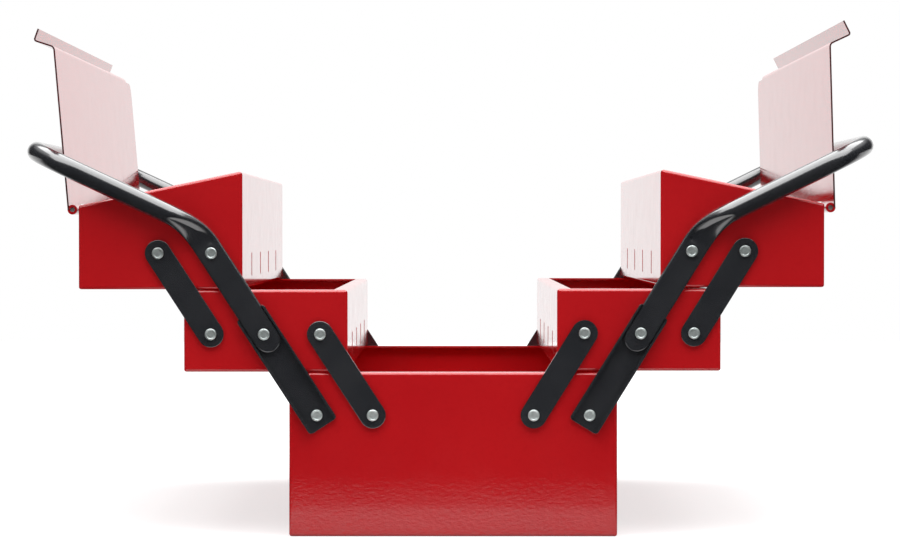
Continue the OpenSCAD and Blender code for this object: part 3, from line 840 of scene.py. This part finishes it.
def floorColour(tree, place, rays):
    # in reflections the floor is duller, and fades out towards the front and the sides
    depth = axisOf(tree, place, "Y")
    aside = mathNode(tree, "ABSOLUTE", axisOf(tree, place, "X"))
    sheen = mathNode(tree, "MULTIPLY", ramp(tree, depth, studio["sheenDeep"], (0, studio["floorSheen"])),
                     ramp(tree, aside, studio["sheenWide"], (1, 0)))
    grey = addNode(tree, "ShaderNodeCombineXYZ", {0: sheen, 1: sheen, 2: sheen}).outputs[0]
    # the floor farther out in front throws no light back
    bounce = mathNode(tree, "MAXIMUM", mathNode(tree, "GREATER_THAN", depth, studio["floorFront"]),
                      rays["Is Camera Ray"])
    colour = mixColour(tree, bounce, (0, 0, 0), studio["floor"])
    return mixColour(tree, rays["Is Glossy Ray"], colour, grey)


def makeFloor():
    finish, tree, place = newFinish("paleFloor")
    seen, rays = seenRays(tree)
    away = addNode(tree, "ShaderNodeVectorMath", {0: place}, operation="LENGTH").outputs["Value"]
    glowing = ramp(tree, away, studio["glowReach"], (studio["floorGlow"], studio["farGlow"]))
    shown = mathNode(tree, "MAXIMUM", ramp(tree, axisOf(tree, place, "Y"), studio["mirrorGlow"], (0, 1)),
                     rays["Is Camera Ray"])
    strength = mathNode(tree, "MULTIPLY", seen, mathNode(tree, "MULTIPLY", glowing, shown))
    diffuse = addNode(tree, "ShaderNodeBsdfDiffuse", {"Color": floorColour(tree, place, rays)})
    glow = addNode(tree, "ShaderNodeEmission", {"Color": (1, 1, 1, 1), "Strength": strength})
    both = addNode(tree, "ShaderNodeAddShader", {0: diffuse.outputs[0], 1: glow.outputs[0]})
    addNode(tree, "ShaderNodeOutputMaterial", {"Surface": both.outputs[0]})
    mesh = bpy.data.meshes.new("floor")
    far = studio["floorHalf"]
    mesh.from_pydata([(-far, -far, 0), (far, -far, 0), (far, far, 0), (-far, far, 0)], [], [(0, 1, 2, 3)])
    mesh.materials.append(finish)
    floor = addObject("floor", mesh)
    floor.location.z = -studio["floorDrop"]


def makeWorld():
    world = bpy.data.worlds.new("studio")
    bpy.context.scene.world = world
    world.use_nodes = True
    tree = world.node_tree
    tree.nodes.clear()
    seen, rays = seenRays(tree)
    facing = addNode(tree, "ShaderNodeTexCoord").outputs["Generated"]
    # reflections meet the white backdrop behind the box and above it, and a dim room elsewhere
    behind = ramp(tree, axisOf(tree, facing, "Y"), studio["backdrop"], (studio["frontDark"], 1))
    above = ramp(tree, axisOf(tree, facing, "Z"), studio["ceiling"], (studio["frontDark"], 1))
    room = mathNode(tree, "MAXIMUM", behind, above)
    shown = mathNode(tree, "MAXIMUM", rays["Is Camera Ray"], room)
    strength = addNode(tree, "ShaderNodeMix", {0: seen, 2: studio["skyLight"], 3: shown})
    background = addNode(tree, "ShaderNodeBackground", {
        "Color": (1, 1, 1, 1), "Strength": strength.outputs[0]})
    addNode(tree, "ShaderNodeOutputWorld", {"Surface": background.outputs[0]})


def addSoftbox(name):
    given = studio[name]
    lamp = bpy.data.lights.new(name, "AREA")
    lamp.shape = "RECTANGLE"
    lamp.size, lamp.size_y = given["size"]
    lamp.energy = given["power"]
    box = addObject(name, lamp)
    box.location = given["place"]
    aim = Vector(given["target"]) - Vector(given["place"])
    box.rotation_euler = aim.to_track_quat("-Z", "Y").to_euler()


viewpoint = {
    "sensor": 36,
    "lens": 119.02,
    "clip": (0.05, 50),
    "place": (-0.00058, -2.0254, 0.18528),
    "down": 0.898,              # degrees below level
    "turn": 0.043,              # degrees to the left
}


def makeCamera():
    lens = bpy.data.cameras.new("camera")
    lens.sensor_fit = "HORIZONTAL"
    lens.sensor_width = viewpoint["sensor"]
    lens.lens = viewpoint["lens"]
    lens.clip_start, lens.clip_end = viewpoint["clip"]
    camera = addObject("camera", lens)
    camera.location = viewpoint["place"]
    camera.rotation_euler = (math.radians(90 - viewpoint["down"]), 0, math.radians(viewpoint["turn"]))
    bpy.context.scene.camera = camera


makeFloor()
makeWorld()
addSoftbox("key")
addSoftbox("overhead")
makeCamera()
bpy.context.scene.view_settings.view_transform = "Standard"
print("floor, lights and camera made")
